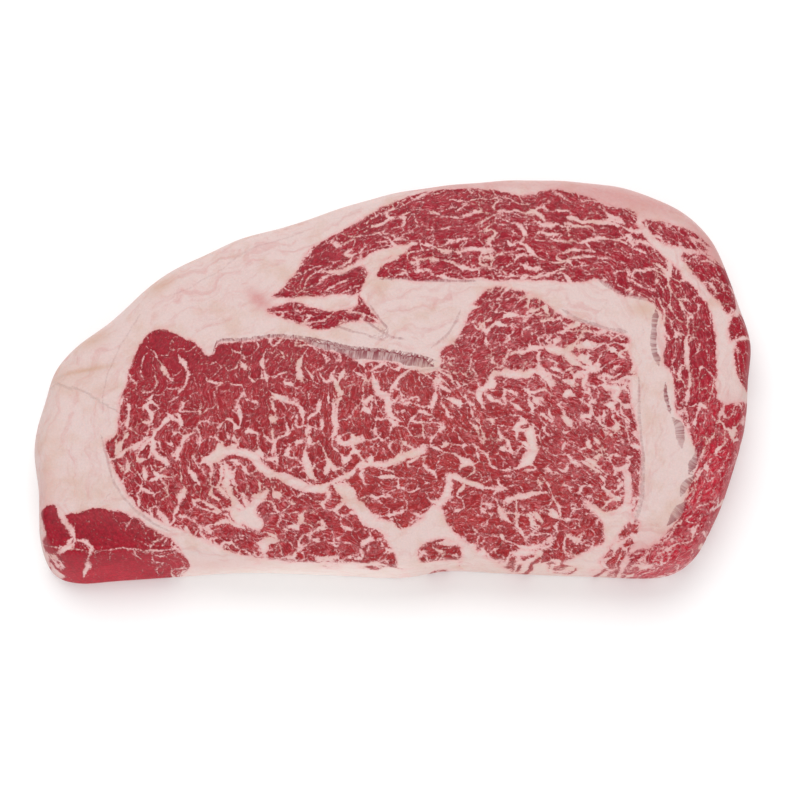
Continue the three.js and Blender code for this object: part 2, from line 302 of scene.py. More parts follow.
# Through the thickness the muscles drift by this much, and swerve by this much, in millimetres
DEPTH_DRIFT = 2.5
DEPTH_SWERVE = 4.0
# Noise runs down through the meat with heights squeezed to this share
DEEP_SQUEEZE = 0.35

# Blushes of pink and of tan on the fat, the tan partly the fat's own and partly painted shade in the knife
# crease, at the cap's lower edge and at bends of the rim: x, y, reach along, reach across, turn in degrees,
# strength
PINK_PATCHES = [
    (78, 65, 36, 6.5, -12, 0.8), (108, 48, 18, 7, -55, 0.8), (20, 70, 40, 2.5, 0, 0.6),
    (113, -9, 6, 6, 0, 0.5), (-45, 29, 5, 2.5, -40, 0.9), (84, -56, 14, 5, 25, 0.5),
    (-60, -61, 22, 2.5, 2, 0.35), (-117, -40, 5, 9, 0, 0.4),
]
TAN_AND_PAINTED_SHADE_PATCHES = [
    (-78, 34.5, 6, 2.5, 35, 0.7), (-101, 16, 6, 3, 25, 0.7), (85.5, 26, 4, 3, 0, 0.7),
    (-104, 5, 10, 1.0, 10, 1.0), (-106, 3.6, 10, 3.5, 10, 0.4), (-6, 35, 6, 2.5, 0, 0.4),
    (35, -61, 24, 1.8, 0, 0.45), (-110, 3, 6, 5, 40, 0.4), (-114, -25, 3, 22, 0, 0.25),
]
# Painted light: the fat of the near side is painted paler and creamier, in place of the light that falls on
# that side
PAINTED_LIT_FAT_PATCHES = [(-30, -68, 60, 6, 0, 1.0), (30, -68, 50, 5, 0, 0.9)]
# Painted light: brighter red on the lean of the near side and of the right rim, where the sides turn away
# from the lights
PAINTED_LIT_LEAN_PATCHES = [(-98, -67, 40, 8.5, 0, 1.0), (107, -28, 34, 10, 76, 0.75), (92, -60, 14, 8, 30, 0.9)]
KNIFE_CREASE = [(-113.5, 2.5), (-110, 3.8), (-106, 5.2), (-100, 5.8), (-95, 6.5)]

# Depth in a muscle, a seam or a skin is measured up to this many millimetres
REACH = 12.0

# The baked picture, as shares of its side: the middles of the cut face and of the underside, with
# the millimetres that the whole side stands for, and the two strips that hold the sides
FACE_MIDDLE, FACE_SPAN = (0.5, 0.71), 248
UNDERSIDE_MIDDLE, UNDERSIDE_SPAN = (0.22, 0.12), 600
STRIP_FOOT, STRIP_PITCH, STRIP_HEIGHT, STRIP_MARGIN = 0.25, 0.09, 0.08, 0.004


def colour(red, green, blue):
    """A display colour, 0 to 255 a channel, as the linear colour that a shader takes."""
    return tuple(
        value / 12.92 if value <= 0.04045 else ((value + 0.055) / 1.055) ** 2.4
        for value in (red / 255, green / 255, blue / 255)
    )


def tint(name, description, default):
    return bpy.props.FloatVectorProperty(
        name=name, description=description, default=default, subtype="COLOR", size=3, min=0, max=1
    )


def amount(name, description, default, lowest, highest, **kind):
    return bpy.props.FloatProperty(
        name=name, description=description, default=default, min=lowest, max=highest, **kind
    )


class SteakLooks(bpy.types.PropertyGroup):
    """Colours of the meat and sizes of its marbling."""

    crimson_lean: tint("Crimson lean", "Lean of the darker muscles", colour(143, 14, 35))
    brown_lean: tint("Brown lean", "Lean at the middle of the eye", colour(151, 39, 38))
    # Painted light: the brighter red of the lit near side and right rim, painted on the lean
    painted_lit_lean: tint("Painted lit lean", "Lean at the sliced side", colour(176, 18, 42))
    vein_fat: tint("Vein fat", "Thin veins of fat, blushed by the lean under them", colour(212, 131, 135))
    seam_fat: tint("Seam fat", "Wide seams of fat inside the muscles", colour(217, 175, 173))
    rim_fat: tint("Rim fat", "Broad fat outside the muscles", colour(214, 190, 186))
    # Painted light: the near side's fat is painted paler, as if more brightly lit
    painted_lit_fat: tint("Cream fat", "Fat of the upright near side", colour(247, 237, 230))
    pink_fat: tint("Pink fat", "Fat of the rim where it is blushed", colour(200, 138, 136))
    # Partly the fat's own air-dried tan, partly painted shade in the knife crease, at the cap's lower edge
    # and at bends of the rim
    tan_fat_and_painted_shade: tint("Tan fat", "Fat that the air has dried", colour(200, 162, 142))
    silverskin: tint("Silverskin", "Thin grey skin between the muscles", colour(124, 32, 48))
    island_length: amount(
        "Island length", "Usual length of an island of lean along the grain",
        5.7 * MM, 2 * MM, 20 * MM, unit="LENGTH", precision=4,
    )
    island_width: amount(
        "Island width", "Usual width of an island of lean across the grain",
        3.8 * MM, 1 * MM, 20 * MM, unit="LENGTH", precision=4,
    )
    relief: amount(
        "Relief", "How far lean stands above the fat beside it",
        0.3 * MM, 0, 1 * MM, unit="LENGTH", precision=5,
    )
    moisture: amount("Moisture", "Weight of the moist film on the lean", 0.08, 0, 1, subtype="FACTOR")


class StageLooks(bpy.types.PropertyGroup):
    """The floor, the lights and the camera's place."""

    floor_tint: tint("Floor", "Colour of the plain floor", (0.96, 0.96, 0.96))
    floor_glow: amount("Floor glow", "Light that the lit table gives off by itself", 0.04, 0, 1)
    elevation: amount(
        "Elevation", "Height of the camera above the horizon",
        math.radians(79), 0, math.radians(90), subtype="ANGLE",
    )
    distance: amount("Distance", "From the camera to the cut face", 0.6314, 0.1, 5, unit="LENGTH")
    lens: amount("Lens", "Focal length of the camera in millimetres", 85, 10, 300)
    key_power: amount(
        "Key light", "Power of the large soft light beyond the steak", 6.4, 0, 200, unit="POWER"
    )
    fill_power: amount(
        "Fill light", "Power of the low soft light on the near side", 4.0, 0, 200, unit="POWER"
    )
    sky_strength: amount("Sky", "Strength of the even light from all round", 0.73, 0, 5)


def smooth_path(points, closed=False, steps=6):
    """A Catmull-Rom curve through the points, as a polyline with so many steps from point to point."""
    points = np.array(points, float)
    if closed:
        padded = np.vstack([points[-1:], points, points[:2]])
    else:
        padded = np.vstack([2 * points[0] - points[1], points, 2 * points[-1] - points[-2]])
    before, start, end, after = padded[:-3], padded[1:-2], padded[2:-1], padded[3:]
    share = (np.arange(steps) / steps)[None, :, None]
    before, start, end, after = (corner[:, None, :] for corner in (before, start, end, after))
    curve = 0.5 * (
        2 * start
        + (end - before) * share
        + (2 * before - 5 * start + 4 * end - after) * share**2
        + (3 * start - before - 3 * end + after) * share**3
    )
    last = points[:1] if closed else points[-1:]
    return np.vstack([curve.reshape(-1, 2), last])


def measure_to_path(spots, path, reach):
    """Distance from each spot to a polyline, how far along it the nearest point lies, and which side
    of it the spot is on, as 1 or -1.

    Spots further from it than reach get a distance of reach."""
    distance = np.full(len(spots), float(reach))
    along = np.zeros(len(spots))
    side = np.ones(len(spots))
    low, high = path.min(0) - reach, path.max(0) + reach
    near = np.nonzero(((spots > low) & (spots < high)).all(1))[0]
    here = spots[near]
    best, best_along, best_side = distance[near], along[near], side[near]
    travelled = 0.0
    for start, end in zip(path[:-1], path[1:]):
        step = end - start
        length = math.hypot(*step)
        if length == 0:
            continue
        share = np.clip((here - start) @ step / length**2, 0, 1)
        gap = np.hypot(*(here - start - share[:, None] * step).T)
        closer = gap < best
        best[closer] = gap[closer]
        best_along[closer] = travelled + share[closer] * length
        turn = step[0] * (here[:, 1] - start[1]) - step[1] * (here[:, 0] - start[0])
        best_side[closer] = np.where(turn[closer] > 0, 1, -1)
        travelled += length
    distance[near], along[near], side[near] = best, best_along, best_side
    return distance, along, side


def inside(spots, outline):
    """Which spots lie inside a closed polyline."""
    within = np.zeros(len(spots), bool)
    x, y = spots.T
    for (x0, y0), (x1, y1) in zip(outline[:-1], outline[1:]):
        if y0 == y1:
            continue
        crosses = (y0 > y) != (y1 > y)
        within ^= crosses & (x < x0 + (y - y0) * (x1 - x0) / (y1 - y0))
    return within


def depth_inside(spots, points):
    """How deep each spot lies inside a smooth closed outline: negative outside it."""
    outline = smooth_path(points, closed=True)
    distance, _, _ = measure_to_path(spots, outline, REACH)
    return np.where(inside(spots, outline), distance, -distance)


def patches(spots, rows):
    """Soft oval patches, strongest where one of them is."""
    total = np.zeros(len(spots))
    for x, y, long, wide, turn, strength in rows:
        turn = math.radians(turn)
        dx, dy = spots[:, 0] - x, spots[:, 1] - y
        along = dx * math.cos(turn) + dy * math.sin(turn)
        across = dy * math.cos(turn) - dx * math.sin(turn)
        total = np.maximum(total, strength * np.exp(-((along / long) ** 2) - (across / wide) ** 2))
    return total


def soft_step(values, low, high):
    share = np.clip((values - low) / (high - low), 0, 1)
    return share * share * (3 - 2 * share)


def blend(share, first, second):
    return first + (second - first) * share


def smooth_noise(points, pitch, seed):
    """Seeded noise from -1 to 1 that wanders over about one pitch, for points in three dimensions."""
    size = 64
    table = np.random.default_rng(seed).uniform(-1, 1, (size, size, size))
    places = points / pitch
    corner = np.floor(places).astype(int)
    share = soft_step(places - corner, 0, 1)
    near, far = corner % size, (corner + 1) % size
    planes = []
    for z in (near[:, 2], far[:, 2]):
        low = blend(share[:, 0], table[near[:, 0], near[:, 1], z], table[far[:, 0], near[:, 1], z])
        high = blend(share[:, 0], table[near[:, 0], far[:, 1], z], table[far[:, 0], far[:, 1], z])
        planes.append(blend(share[:, 1], low, high))
    return blend(share[:, 2], *planes)


def grain_at(spots, rows):
    """Direction of the grain, share of fat and brownness at each spot, from the rows' places."""
    rows = np.array(rows, float)
    gap = ((spots[:, None, :] - rows[None, :, :2]) ** 2).sum(-1)
    weight = np.exp(-(gap - gap.min(-1, keepdims=True)) / (2 * GRAIN_REACH**2))
    weight /= weight.sum(-1, keepdims=True)
    turn, fat, brown = weight @ rows[:, 2], weight @ rows[:, 3], weight @ rows[:, 4]
    return np.radians(turn), fat, brown


def islands(spots, rows, length, width, thickness, seed):
    """Islands of lean that lie along the grain, with veins of fat between them.

    Each island draws two marks, and a vein runs wherever a mark changes, so a quarter of the
    neighbours grow together. For each mark this gives the distance to the nearest such edge,
    positive on one side of it and negative on the other, so that a vein thinner than the mesh keeps
    its place, and half the vein's width. Last comes each spot's place in its own island's frame."""
    pitch = math.sqrt(length * width)
    extent = np.array(GRAIN_EXTENT)
    count = (2 * extent / pitch).astype(int) + 1
    chance = np.random.default_rng(seed)
    stray, turn_spread, stretches, farthest_start = 0.48, 0.22, (0.8, 1.25), 300
    lattice = np.stack(np.meshgrid(*(np.arange(n) for n in count), indexing="ij"), -1).reshape(-1, 2)
    seeds = (lattice + 0.5 + chance.uniform(-stray, stray, lattice.shape)) * pitch - extent
    turn, fat, _ = grain_at(seeds, rows)
    turn = turn + chance.normal(0, turn_spread, len(seeds))
    stretch = chance.uniform(*stretches, len(seeds))
    key = chance.uniform(0, 1, len(seeds))
    start = chance.uniform(0, farthest_start, (len(seeds), 2))
    marks = chance.integers(0, 2, (len(seeds), 2))

    home = np.floor((spots + extent) / pitch).astype(int)
    offsets = range(-3, 4)
    columns = [
        np.clip(home[:, 0] + i, 0, count[0] - 1) * count[1] + np.clip(home[:, 1] + j, 0, count[1] - 1)
        for i in offsets
        for j in offsets
    ]
    near = np.stack(columns, 1)
    gap = spots[:, None, :] - seeds[near]
    cosine, sine = np.cos(turn[near]), np.sin(turn[near])
    along = gap[..., 0] * cosine + gap[..., 1] * sine
    across = gap[..., 1] * cosine - gap[..., 0] * sine
    long, wide = length * stretch[near], width * stretch[near]
    reach = (along / long) ** 2 + (across / wide) ** 2
    pull_along, pull_across = 2 * along / long**2, 2 * across / wide**2
    pull_x = pull_along * cosine - pull_across * sine
    pull_y = pull_along * sine + pull_across * cosine

    nearest = reach.argmin(1)[:, None]

    def own(values):
        return np.take_along_axis(values, nearest, 1)

    slope = np.hypot(pull_x - own(pull_x), pull_y - own(pull_y))
    to_edge = (reach - own(reach)) / np.maximum(slope, 1e-9)
    luck = (key[near] + own(key[near])) % 1
    half = thickness * (fat[near] / USUAL_FAT) ** 1.6 * (0.1 + 1.45 * luck**1.8)
    half -= 1.2 * np.maximum(LITTLE_FAT - fat[near], 0)
    home_seed = own(near)[:, 0]
    edges, halves = [], []
    nowhere = 20.0
    for mark in marks.T:
        changes = np.where(mark[near] != mark[home_seed][:, None], to_edge, nowhere)
        closest = changes.argmin(1)[:, None]
        side = 2 * mark[home_seed] - 1
        edges.append(side * np.take_along_axis(changes, closest, 1)[:, 0])
        halves.append(np.take_along_axis(half, closest, 1)[:, 0])
    place = np.concatenate([own(along), own(across)], 1) + start[home_seed]
    return np.stack(edges, 1), np.stack(halves, 1), place


def read_vectors(items, key):
    """One vector for each item, such as a point of the mesh."""
    values = np.empty(len(items) * 3)
    items.foreach_get(key, values)
    return values.reshape(-1, 3)


def store(mesh, name, values):
    """Keeps a number or a vector for each point of the mesh under a name that the material reads."""
    values = np.asarray(values, np.float32)
    kind, key = ("FLOAT", "value") if values.ndim == 1 else ("FLOAT_VECTOR", "vector")
    mesh.attributes.new(name, kind, "POINT").data.foreach_set(key, values.ravel())


def fine_slab(name):
    """A copy of the solid with its triangles paired to four-sided faces and smoothly subdivided."""
    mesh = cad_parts[NODE].data.copy()
    mesh.name = name
    form = bmesh.new()
    form.from_mesh(mesh)
    bmesh.ops.remove_doubles(form, verts=form.verts, dist=0.01 * MM)
    limit = math.radians(60)
    bmesh.ops.join_triangles(
        form, faces=form.faces, angle_face_threshold=limit, angle_shape_threshold=limit
    )
    form.to_mesh(mesh)
    form.free()
    mesh.materials.clear()
    piece = bpy.data.objects.new(name, mesh)
    bpy.context.scene.collection.objects.link(piece)
    finer = piece.modifiers.new("finer surface", "SUBSURF")
    finer.levels = finer.render_levels = 2
    bpy.context.view_layer.update()
    finished = bpy.data.meshes.new_from_object(piece.evaluated_get(bpy.context.evaluated_depsgraph_get()))
    piece.modifiers.clear()
    piece.data = finished
    bpy.data.meshes.remove(mesh)
    finished.name = name
    finished.shade_smooth()
    return piece


def sectors_round(x, y, count):
    """The turn of each place round the middle, from 0 to 1, and which of so many sectors holds it."""
    turns = np.arctan2(y, x) / (2 * np.pi) + 0.5
    return turns, (turns * count).astype(int) % count


def lay_out(mesh):
    """Lays the surface out flat for a baked picture: the cut face across the top of the square, the
    sides under it in two strips, and the underside in the corner that is left."""
    corners = np.empty(len(mesh.loops), int)
    mesh.loops.foreach_get("vertex_index", corners)
    x, y, z = (read_vectors(mesh.vertices, "co") / MM)[corners.reshape(-1, 4)].transpose(2, 0, 1)
    slope = read_vectors(mesh.polygons, "normal")[:, 2, None, None]

    count = 360
    turns, sector = sectors_round(x, y, count)
    reach = np.zeros(count)
    np.maximum.at(reach, sector.ravel(), np.hypot(x, y).ravel())
    angle = np.linspace(-np.pi, np.pi, count + 1)
    ring = np.append(reach, reach[0])[:, None] * np.stack([np.cos(angle), np.sin(angle)], 1)
    travelled = np.append(0, np.hypot(*np.diff(ring, axis=0).T).cumsum())
    share = np.interp(turns, np.linspace(0, 1, count + 1), travelled / travelled[-1])
    share[share < share.max(1, keepdims=True) - 0.5] += 1
    strip = np.floor(2 * share.mean(1, keepdims=True))

    face = np.stack([x, y], -1) / FACE_SPAN + FACE_MIDDLE
    underside = np.stack([x, y], -1) / UNDERSIDE_SPAN + UNDERSIDE_MIDDLE
    along = STRIP_MARGIN + (1 - 2 * STRIP_MARGIN) * (2 * share - strip)
    up = STRIP_FOOT + STRIP_PITCH * (strip % 2) + STRIP_HEIGHT * z / FACE_HEIGHT
    side = np.stack([along, up], -1)
    spread = np.where(slope > 0.5, face, np.where(slope < -0.5, underside, side))
    mesh.uv_layers.new(name="OFBake").uv.foreach_set("vector", spread.astype(np.float32).ravel())


def drawn_spots(points):
    """Where each point lies on the drawing of the cut face. The drawing drifts a little with depth,
    as the muscles do through the thickness of the cut."""
    x, y, z = (points / MM).T
    depth = np.clip(1 - z / FACE_HEIGHT, 0, 1)
    x, y = x + DRAWING_MIDDLE[0], y + DRAWING_MIDDLE[1]
    drift = DEPTH_DRIFT * depth
    return np.stack([x + drift * np.sin(y / 19), y + drift * np.sin(x / 27)], 1)


def lean_depth(spots):
    """How deep each spot lies in a muscle, in millimetres: negative in the fat between muscles."""
    depth = np.full(len(spots), -REACH)
    for outline in MUSCLES.values():
        depth = np.maximum(depth, depth_inside(spots, outline))
    for outline in FAT_POCKETS.values():
        depth = np.minimum(depth, -depth_inside(spots, outline))
    for outline in ISLANDS.values():
        depth = np.maximum(depth, depth_inside(spots, outline))
    return depth


def strokes(spots, rows, unevenness):
    """The brush stroke that each spot lies deepest in, of rows that start with a width and end with a
    path.

    Gives the distance from its middle line, positive on one side and negative on the other, half its
    width, how deep the spot lies in it, how far along it and the row's number. A stroke varies in
    width and tapers at its ends."""
    best = np.full((len(spots), 3), (REACH, 0.0, -REACH))
    run = np.zeros(len(spots))
    number = np.zeros(len(spots), int)
    most_uneven, tip = 1.8, 0.35
    for index, (width, *_, points) in enumerate(rows):
        path = smooth_path(points)
        distance, along, side = measure_to_path(spots, path, REACH)
        length = np.hypot(*np.diff(path, axis=0).T).sum()
        to_end = np.minimum(along, length - along)
        taper = tip + (1 - tip) * soft_step(to_end, -0.2, 1.1 * width)
        half = (width + min(width, most_uneven) * unevenness) / 2 * taper
        deeper = half - distance > best[:, 2]
        best[deeper] = np.stack([side * distance, half, half - distance], 1)[deeper]
        run[deeper] = along[deeper]
        number[deeper] = index
    return best, run, number


def rim_fields(points, spots):
    """How far round the rim each spot lies, and how far inside it."""
    count = 180
    _, sector = sectors_round(points[:, 0], points[:, 1], count)
    radius = np.hypot(points[:, 0], points[:, 1])
    rim = []
    for number in range(count):
        members = np.nonzero(sector == number)[0]
        rim.append(spots[members[radius[members].argmax()]])
    distance, run, _ = measure_to_path(spots, np.array(rim + rim[:1]), 70.0)
    return run, distance


def wander(spots, deep):
    """The spots moved about, so that what is drawn by them gets uneven edges."""
    bent = spots.copy()
    for pitch, far, seed in WANDER:
        bent[:, 0] += far * smooth_noise(deep, pitch, seed)
        bent[:, 1] += far * smooth_noise(deep, pitch, seed + 20)
    return bent


def marble(mesh, spots, bent, deep, looks):
    """Stores the islands of lean and the veins between them. Gives how deep each spot lies in a vein
    between large ones, and its place in its own island."""
    cap_depth = np.max([depth_inside(spots, MUSCLES[name]) for name in CAP_MUSCLES], axis=0)
    is_cap = cap_depth > -2
    in_lobe = (depth_inside(spots, RIGHT_LOBE) > 0) & ~is_cap
    large, small = np.zeros((2, len(spots), 4))
    fat, brown = np.empty((2, len(spots)))
    place = np.empty((len(spots), 2))
    swell = np.maximum(1 + 1.3 * smooth_noise(deep, 2.6, 51), 0.1)[:, None]
    shorter, narrower, finer = SMALL_ISLANDS
    for chosen, rows, (long, wide, thickness, seed) in (
        (~is_cap & ~in_lobe, EYE_GRAIN, EYE_MARBLING),
        (in_lobe, EYE_GRAIN, LOBE_MARBLING),
        (is_cap, CAP_GRAIN, CAP_MARBLING),
    ):
        here = bent[chosen]
        _, fat[chosen], brown[chosen] = grain_at(spots[chosen], rows)
        length, width = looks.island_length / MM * long, looks.island_width / MM * wide
        edges, halves, place[chosen] = islands(here, rows, length, width, thickness, seed)
        large[chosen] = np.concatenate([edges, halves * swell[chosen]], 1)
        length, width = length / shorter, width / narrower
        edges, halves, _ = islands(here, rows, length, width, finer * thickness, seed + 50)
        small[chosen] = np.concatenate([edges, halves * swell[chosen]], 1)

    store(mesh, "vein_edges", np.concatenate([large[:, :2], small[:, :1]], 1))
    store(mesh, "vein_halves", np.concatenate([large[:, 2:], small[:, 2:3]], 1))
    store(mesh, "veinlet_edge", small[:, 1])
    store(mesh, "veinlet_half", small[:, 3])
    store(mesh, "fatness", fat)
    store(mesh, "brownness", brown)
    return (large[:, 2:] - np.abs(large[:, :2])).max(1), place


def mark_flesh(mesh, looks):
    """Stores what the material needs to know at each point, and raises the lean above the fat."""
    points = read_vectors(mesh.vertices, "co")
    normals = read_vectors(mesh.vertex_normals, "vector")
    drawn = drawn_spots(points)
    height = points[:, 2] / MM
    deep = np.concatenate([drawn, height[:, None] * DEEP_SQUEEZE], 1)

    below = soft_step(FACE_HEIGHT - height, 1.0, 9.0)
    swerve = np.stack([smooth_noise(deep, 5.0, 41), smooth_noise(deep, 5.0, 42)], 1) * below[:, None]
    spots = drawn + DEPTH_SWERVE * swerve
    bent = wander(drawn, deep) + DEPTH_SWERVE * swerve

    lean = lean_depth(blend(0.4, spots, bent))
    unevenness = smooth_noise(deep, 2.4, 31)
    seams, _, _ = strokes(blend(0.9, spots, bent), SEAMS, unevenness)
    skins, skin_run, skin_number = strokes(blend(0.3, spots, bent), SKINS, 0.5 * unevenness)
    skin_dark = np.array([row[1] for row in SKINS])[skin_number]
    rim_run, inward = rim_fields(points, spots)
    crease, _, _ = measure_to_path(spots, smooth_path(KNIFE_CREASE), REACH)
    veins, place = marble(mesh, spots, bent, deep, looks)
    veins = np.maximum(veins, seams[:, 2])

    store(mesh, "lean", lean)
    store(mesh, "skin", skins)
    store(mesh, "skin_run", skin_run)
    store(mesh, "skin_dark", skin_dark)
    store(mesh, "seam", seams)
    store(mesh, "grain", np.concatenate([place, height[:, None]], 1))
    store(mesh, "rim", np.stack([rim_run, inward, height], 1))
    # Pink and tan patches, the tan partly painted shade, and painted light on the near side's fat and on
    # the lean of the near side and right rim
    for name, rows in (
        ("pinkness", PINK_PATCHES),
        ("tan_and_painted_shade", TAN_AND_PAINTED_SHADE_PATCHES),
        ("painted_light_on_fat", PAINTED_LIT_FAT_PATCHES),
        ("painted_light_on_lean", PAINTED_LIT_LEAN_PATCHES),
    ):
        store(mesh, name, patches(drawn, rows))

    crease_depth, crease_width = 1.6, 0.9
    on_face = soft_step(normals[:, 2], 0.2, 0.7)
    rise = looks.relief * on_face * (
        soft_step(np.minimum(lean, -veins), -0.5, 0.8) - 0.5
        + 0.5 * soft_step(skins[:, 2], -0.4, 0.4) * skin_dark
        - crease_depth * np.exp(-((crease / crease_width) ** 2))
    )
    above_table = np.clip(points[:, 2] / (3 * MM), 0, 1)
    moved = points + normals * (rise * above_table)[:, None]
    mesh.vertices.foreach_set("co", moved.ravel())
    mesh.update()


def math_node(operation, swapped=False):
    """An operator on fields that adds one Math node."""

    def combine(self, *others):
        values = (*others, self) if swapped else (self, *others)
        return self.recipe.node("ShaderNodeMath", {"operation": operation}, dict(enumerate(values)))

    return combine


class Field:
    """A socket of a material's nodes. Expressions on fields add the Math nodes that work them out."""

    def __init__(self, recipe, socket):
        self.recipe = recipe
        self.socket = socket

    __add__, __radd__ = math_node("ADD"), math_node("ADD", swapped=True)
    __sub__, __rsub__ = math_node("SUBTRACT"), math_node("SUBTRACT", swapped=True)
    __mul__, __rmul__ = math_node("MULTIPLY"), math_node("MULTIPLY", swapped=True)
    __truediv__, __rtruediv__ = math_node("DIVIDE"), math_node("DIVIDE", swapped=True)
    __abs__ = math_node("ABSOLUTE")
    larger, smaller = math_node("MAXIMUM"), math_node("MINIMUM")
    # The larger of two fields, rounded out where they meet
    merged = math_node("SMOOTH_MAX")

    def __neg__(self):
        return self * -1.0

    def step(self, low, high):
        """0 below low, 1 above high, and smooth between them."""
        return self.recipe.node(
            "ShaderNodeMapRange",
            {"interpolation_type": "SMOOTHSTEP"},
            {"Value": self, "From Min": low, "From Max": high},
        )


class Recipe:
    """The nodes of one material."""

    def __init__(self, name):
        self.material = bpy.data.materials.new(name)
        self.material.use_nodes = True
        self.tree = self.material.node_tree
        self.tree.nodes.clear()

    def node(self, kind, settings=None, values=None, output=0):
        """Adds a node, sets it up, fills its sockets with numbers or links, and gives one output."""
        node = self.tree.nodes.new(kind)
        for key, value in (settings or {}).items():
            setattr(node, key, value)
        for key, value in (values or {}).items():
            socket = node.inputs[key]
            if isinstance(value, Field):
                self.tree.links.new(value.socket, socket)
            else:
                socket.default_value = value
        return Field(self, node.outputs[output]) if len(node.outputs) else None

    def read(self, name, output="Fac"):
        """A field that the mesh stores for its points."""
        return self.node("ShaderNodeAttribute", {"attribute_name": name}, output=output)

    def parts(self, name):
        """The three numbers of a vector that the mesh stores for its points."""
        vector = self.read(name, "Vector")
        return [self.node("ShaderNodeSeparateXYZ", values={0: vector}, output=axis) for axis in range(3)]

    def brush(self, name):
        """How deep each place lies in the strokes that the mesh stores under the name. Where the
        distance jumps from one stroke to the next, the stored depth bounds it, with a little to spare."""
        spare = 0.45
        across, half, depth = self.parts(name)
        return (half - abs(across)).smaller(depth + spare)

    def mix(self, share, first, second):
        """From the first colour to the second as share goes from 0 to 1."""
        first, second = (value if isinstance(value, Field) else (*value, 1.0) for value in (first, second))
        return self.node(
            "ShaderNodeMix",
            {"data_type": "RGBA", "clamp_factor": True},
            {0: share, 6: first, 7: second},
            output=2,
        )

    def brighten(self, tone, factor):
        return self.node("ShaderNodeVectorMath", {"operation": "SCALE"}, {0: tone, "Scale": factor})

    def stretch(self, vector, factors):
        return self.node("ShaderNodeVectorMath", {"operation": "MULTIPLY"}, {0: vector, 1: factors})

    def shift(self, vector, other):
        return self.node("ShaderNodeVectorMath", {"operation": "ADD"}, {0: vector, 1: other})

    def noise(self, vector, scale, detail=2.0, roughness=0.5, output=0):
        """Noise from 0 to 1, with scale grains to each unit of the vector."""
        return self.node(
            "ShaderNodeTexNoise",
            {"noise_dimensions": "3D"},
            {"Vector": vector, "Scale": scale, "Detail": detail, "Roughness": roughness},
            output,
        )

    def cell_edge(self, vector):
        """Distance to the nearest edge of a pattern of irregular cells, each about 1 across."""
        return self.node(
            "ShaderNodeTexVoronoi", {"feature": "DISTANCE_TO_EDGE"}, {"Vector": vector, "Scale": 1.0}
        )


def vein_depths(recipe):
    """How deep each place lies in a vein or a seam, and in the veins between small islands alone."""
    first, second, third = recipe.parts("vein_edges")
    first_half, second_half, third_half = recipe.parts("vein_halves")
    fourth, fourth_half = recipe.read("veinlet_edge"), recipe.read("veinlet_half")
    veins = (first_half - abs(first)).merged(second_half - abs(second), 0.8)
    veinlets = (third_half - abs(third)).larger(fourth_half - abs(fourth))
    veins = veins.merged(veinlets - 0.08, 0.3).merged(recipe.brush("seam"), 0.4)
    return veins, veinlets


def thread_depth(recipe, looks, grain, fatness, uneven):
    """How deep each place lies in the threads of fat between bundles of fibres."""
    long, wide = looks.island_length / MM / 1.7, looks.island_width / MM / 2.3
    bend = recipe.noise(grain, 0.5, 1.0, output="Color")
    bent = recipe.shift(grain, recipe.stretch(bend, (1.6, 1.6, 0.0)))
    threads = recipe.cell_edge(recipe.stretch(bent, (1 / long, 1 / wide, 0.12))) * wide
    return fatness * 2.0 + uneven * 1.6 - 0.87 - threads


def fine_fat(recipe, grain, fatness, hair_depth, drift):
    """Share of fat in the lean itself: hairs, flecks, and streaks along the fibres."""
    fibres = recipe.noise(recipe.stretch(grain, (0.5, 1.9, 0.25)), 1.0, 3.0, 0.6)
    flecks = (fibres - 0.79 + fatness * 0.14) * 3.0
    hairs = hair_depth.step(-0.2, 0.25).larger(flecks.step(-0.2, 0.25))
    hairs = hairs * (fatness * 1.8 - 0.2).smaller(0.42)
    streaks = fibres.step(0.48, 0.7) * (fatness * 1.5 - 0.14).larger(0.06) * (drift * 4.0 - 0.8)
    return hairs.larger(streaks)


def lean_tone(recipe, looks, place, fat_depth, fine, mottle, drift):
    """Colour of the lean: browner here and there and beside fat, and darker where it is dense, with painted
    light as brighter red on the near side and the right rim.
    """
    grit = recipe.noise(place, 1.9, 2.0, 0.7)
    browner = recipe.read("brownness") * (0.3 + drift * 1.4) + fat_depth.step(-0.9, 0.0) * 0.25
    tone = recipe.mix(browner, looks.crimson_lean, looks.brown_lean)
    # Painted light: brighter red on the lean of the near side and the right rim
    tone = recipe.mix(recipe.read("painted_light_on_lean"), tone, looks.painted_lit_lean)
    tone = recipe.mix(fine, tone, looks.vein_fat)
    beside_fat = fat_depth.step(-0.55, -0.1)
    shade = -0.33 + mottle * 1.45 + grit * 0.8 + drift * 0.42 - beside_fat * 0.22
    return recipe.brighten(tone, shade)


